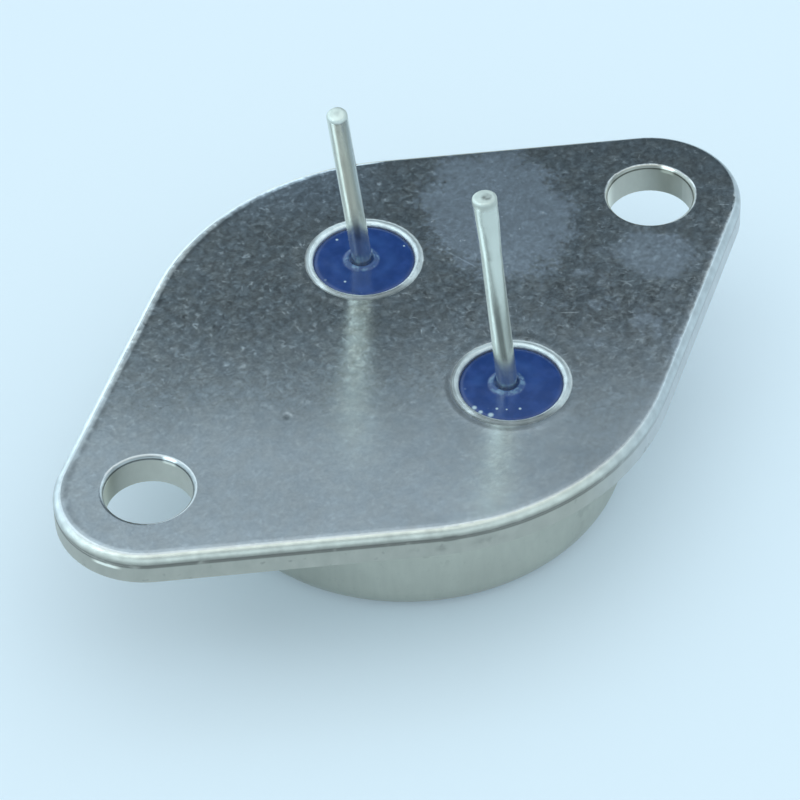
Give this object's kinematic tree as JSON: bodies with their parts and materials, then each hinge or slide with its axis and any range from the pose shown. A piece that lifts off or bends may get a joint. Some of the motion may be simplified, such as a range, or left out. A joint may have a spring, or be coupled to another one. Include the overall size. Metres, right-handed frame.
{
  "type": "power transistor",
  "caption": "Metal-can power transistor: a diamond-shaped steel flange with mounting holes, a drawn round can on one side and solder-dipped pins in blue glass seals on the other.",
  "frame": {"origin": "midway between the two mounting holes, on the flat face of the flange that seats on a heat sink (the face that the pins leave)", "axes": "+Z out of that face, the way the pins point; +X towards the mounting hole nearer the pins; +Y towards the base pin; the can is on the -Z side"},
  "size_m": [0.0388, 0.0252, 0.019],
  "materials": {
    "flange_plate": "dull nickel plating on steel, finely mottled, with light scratches",
    "can_shell": "drawn steel with satin nickel plating",
    "seal_glass": "glossy opaque deep blue sealing glass",
    "pin_metal": "nickel-iron wire with a bright solder dip",
    "braze": "matt braze",
    "copper": "bare copper",
    "solder": "dull soft solder",
    "silicon": "polished silicon with a metal layer",
    "bond_wire": "bright aluminium wire"
  },
  "bodies": {
    "root": {"base_flange": "flange_plate", "cap": "can_shell", "base_pin_seal": "seal_glass", "emitter_pin_seal": "seal_glass", "base_pin": "pin_metal", "emitter_pin": "pin_metal", "spreader_braze": "braze", "heat_spreader": "copper", "die_solder": "solder", "die": "silicon", "base_wire": "bond_wire", "emitter_wire_a": "bond_wire", "emitter_wire_b": "bond_wire"}
  },
  "joints": []
}
